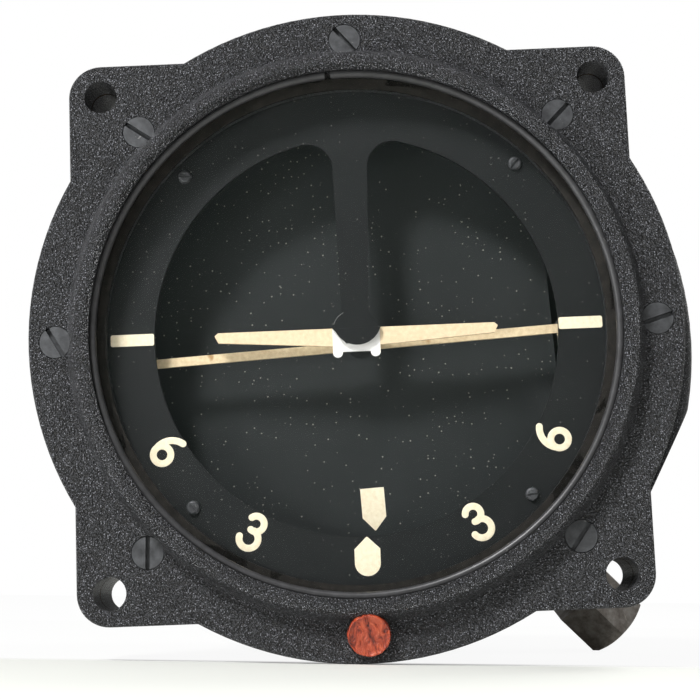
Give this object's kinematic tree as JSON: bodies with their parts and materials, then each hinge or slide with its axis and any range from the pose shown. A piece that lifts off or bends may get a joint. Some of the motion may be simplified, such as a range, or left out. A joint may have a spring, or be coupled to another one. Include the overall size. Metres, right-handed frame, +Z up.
{
  "type": "attitude indicator",
  "caption": "Suction-driven aircraft attitude indicator: flanged round case, glazed dial with horizon bar and bank pointer, gimballed air-driven gyro inside.",
  "frame": {"origin": "centre of the four mounting holes, on the front face of the flange", "axes": "+Y runs rearward along the roll axis, away from the pilot; +X is to the pilot's right; +Z is up"},
  "size_m": [0.1435, 0.1616, 0.1405],
  "materials": {
    "case_paint": "black crackle enamel over cast alloy",
    "dial_paint": "satin black dial paint",
    "luminous_cream": "aged cream paint",
    "plated_steel": "dull plated",
    "bright_steel": "ground",
    "blackened_screw": "blackened",
    "brass": "turned",
    "alloy": "machined",
    "cork_rubber": "dull",
    "wax": "scratched sealing wax",
    "cover_glass": "clear",
    "gauze": "woven wire"
  },
  "bodies": {
    "case": {"front_cover": "case_paint", "snap_ring": "plated_steel", "cover_glass": "cover_glass", "glass_gasket": "cork_rubber", "dial_mask": "dial_paint", "mask_carrier": "dial_paint", "aircraft_symbol": "luminous_cream", "mask_screws": "blackened_screw", "cover_gasket": "cork_rubber", "cover_screws": "blackened_screw", "wax_seal": "wax", "case_body": "case_paint", "bearing_bridge": "alloy", "bridge_screws": "plated_steel", "roll_outer_races": "bright_steel", "roll_balls": "bright_steel", "stop_pegs": "plated_steel", "rubber_buffers": "cork_rubber", "rear_cover": "case_paint", "rear_gasket": "cork_rubber", "rear_cover_screws": "plated_steel", "filter_body": "brass", "filter_gauze": "gauze", "filter_cap": "brass", "suction_nipple": "plated_steel", "suction_nut": "plated_steel"},
    "gimbal": {"gimbal_ring": "alloy", "front_roll_pivot": "bright_steel", "rear_roll_pivot": "bright_steel", "roll_inner_races": "bright_steel", "roll_stop_finger": "plated_steel", "sky_plate": "dial_paint", "sky_plate_screw": "plated_steel", "arm_pivot_pin": "bright_steel", "arm_clip": "plated_steel", "pitch_outer_races": "bright_steel", "pitch_balls": "bright_steel"},
    "bar_arm": {"horizon_arm": "alloy", "horizon_bar": "luminous_cream", "arm_counterweight": "brass"},
    "can": {"rotor_can": "alloy", "can_cover": "alloy", "can_screws": "plated_steel", "pitch_trunnions": "bright_steel", "pitch_inner_races": "bright_steel", "guide_pin": "bright_steel", "air_jets": "brass", "erector_body": "alloy", "rotor_outer_races": "bright_steel", "rotor_balls": "bright_steel"},
    "rotor": {"rotor_wheel": "brass", "rotor_shaft": "bright_steel", "rotor_inner_races": "bright_steel"},
    "side_vane_set": {"side_vane_shaft": "bright_steel", "side_vanes": "brass"},
    "end_vane_set": {"end_vane_shaft": "bright_steel", "end_vanes": "brass"}
  },
  "joints": [
    {"name": "bank", "type": "hinge", "parent": "case", "child": "gimbal", "pos_m": [0, 0.074, 0], "axis": [0, 1, 0], "range_deg": [-107.16, 112.84]},
    {"name": "pitch", "type": "hinge", "parent": "gimbal", "child": "can", "pos_m": [0, 0.074, 0], "axis": [0.9988, 0, 0.0495], "range_deg": [-54.4, 65.6]},
    {"name": "arm_swing", "type": "hinge", "parent": "gimbal", "child": "bar_arm", "pos_m": [0.04425, 0.1185, 0.00219], "axis": [0.9988, 0, 0.0495], "range_deg": [-12.85, 10.65]},
    {"name": "rotor_spin", "type": "hinge", "parent": "can", "child": "rotor", "pos_m": [0, 0.074, 0], "axis": [-0.0493, 0.0976, 0.994], "continuous": true},
    {"name": "side_vane_swing", "type": "hinge", "parent": "can", "child": "side_vane_set", "pos_m": [0.00145, 0.07112, -0.02932], "axis": [0.9988, 0, 0.0495], "range_deg": [-25.6, 14.4]},
    {"name": "end_vane_swing", "type": "hinge", "parent": "can", "child": "end_vane_set", "pos_m": [0.00128, 0.07146, -0.02584], "axis": [0.0048, 0.9952, -0.0975], "range_deg": [-22.84, 17.16]}
  ],
  "couplings": [
    {"joint": "arm_swing", "follows": "pitch", "ratio": -0.195}
  ]
}
